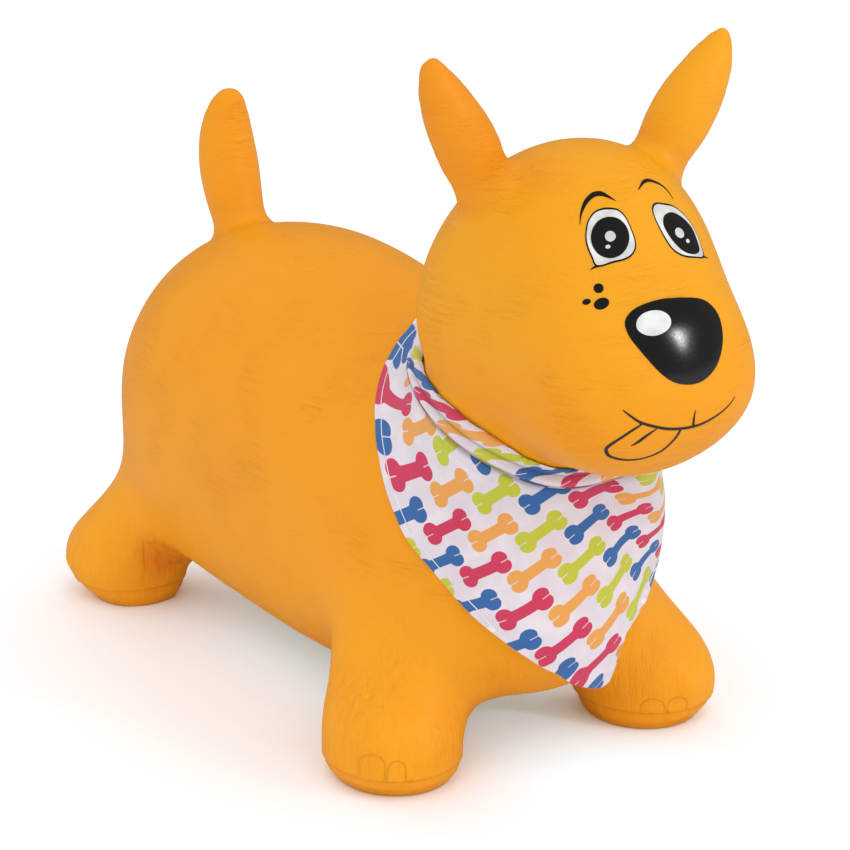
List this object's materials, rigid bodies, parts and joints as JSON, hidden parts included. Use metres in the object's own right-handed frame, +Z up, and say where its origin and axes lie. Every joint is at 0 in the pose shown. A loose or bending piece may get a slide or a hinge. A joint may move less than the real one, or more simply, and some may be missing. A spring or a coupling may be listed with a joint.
{
  "type": "bouncy ride-on animal",
  "caption": "Air-filled moulded dog that a toddler sits astride and bounces on, with stubby feet, springy ears and tail, a plugged air valve and a printed cloth bandana.",
  "frame": {"origin": "on the floor under the middle of the whole dog, centred over its length and width", "axes": "+Z up, the dog faces -Y, +X is the dog's left"},
  "size_m": [0.268, 0.5538, 0.4245],
  "materials": {
    "skin": "satin orange soft vinyl with a fine fur grain",
    "black_paint": "black face paint, glossy on the nose",
    "white_paint": "white face paint",
    "printed_cotton": "white cotton with a print of small bones in red, blue, lime and orange",
    "closure_tape": "white hook and loop tape",
    "valve_plastic": "off-white soft plastic"
  },
  "bodies": {
    "feet": {"foot_front_left": "skin", "foot_front_right": "skin", "foot_hind_left": "skin", "foot_hind_right": "skin", "leg_front_left": "skin", "leg_front_right": "skin", "leg_hind_left": "skin", "leg_hind_right": "skin"},
    "body": {"bandana_bib": "printed_cotton", "bandana_hook_patch": "closure_tape", "bandana_loop_patch": "closure_tape", "bandana_neck_band": "printed_cotton", "brow_left": "black_paint", "brow_right": "black_paint", "cheek_spot_inner": "black_paint", "cheek_spot_outer": "black_paint", "cheek_spot_upper": "black_paint", "eye_glint_left": "white_paint", "eye_glint_right": "white_paint", "eye_outline_left": "black_paint", "eye_outline_right": "black_paint", "eye_white_left": "white_paint", "eye_white_right": "white_paint", "head": "skin", "lip_line": "black_paint", "mouth_line": "black_paint", "nose": "black_paint", "nose_glint": "white_paint", "pupil_left": "black_paint", "pupil_right": "black_paint", "tongue_crease": "black_paint", "tongue_line": "black_paint", "torso": "skin", "valve_seat": "valve_plastic"},
    "ear_left": {"ear_left": "skin"},
    "ear_right": {"ear_right": "skin"},
    "tail": {"tail": "skin"},
    "plug": {"valve_plug": "valve_plastic"}
  },
  "joints": [
    {"name": "bounce", "type": "slide", "parent": "feet", "child": "body", "axis": [0, 0, 1], "range_m": [-0.014, 0], "stiffness_N_per_m": 8000, "springref_m": 0.002, "deforming": ["leg_front_left", "leg_front_right", "leg_hind_left", "leg_hind_right"]},
    {"name": "ear_left_flex", "type": "hinge", "parent": "body", "child": "ear_left", "pos_m": [0.05413, -0.1616, 0.34676], "axis": [0.999, -0.0436, 0], "range_deg": [-15, 15], "stiffness_Nm_per_rad": 0.12},
    {"name": "ear_right_flex", "type": "hinge", "parent": "body", "child": "ear_right", "pos_m": [-0.05193, -0.15697, 0.34678], "axis": [0.999, -0.0436, 0], "range_deg": [-15, 15], "stiffness_Nm_per_rad": 0.12},
    {"name": "tail_flex", "type": "hinge", "parent": "body", "child": "tail", "pos_m": [0, 0.22246, 0.23837], "axis": [1, 0, 0], "range_deg": [-12, 12], "stiffness_Nm_per_rad": 0.15},
    {"name": "valve_plug_pull", "type": "slide", "parent": "body", "child": "plug", "axis": [0, 0.454, -0.891], "range_m": [0, 0.012]}
  ]
}
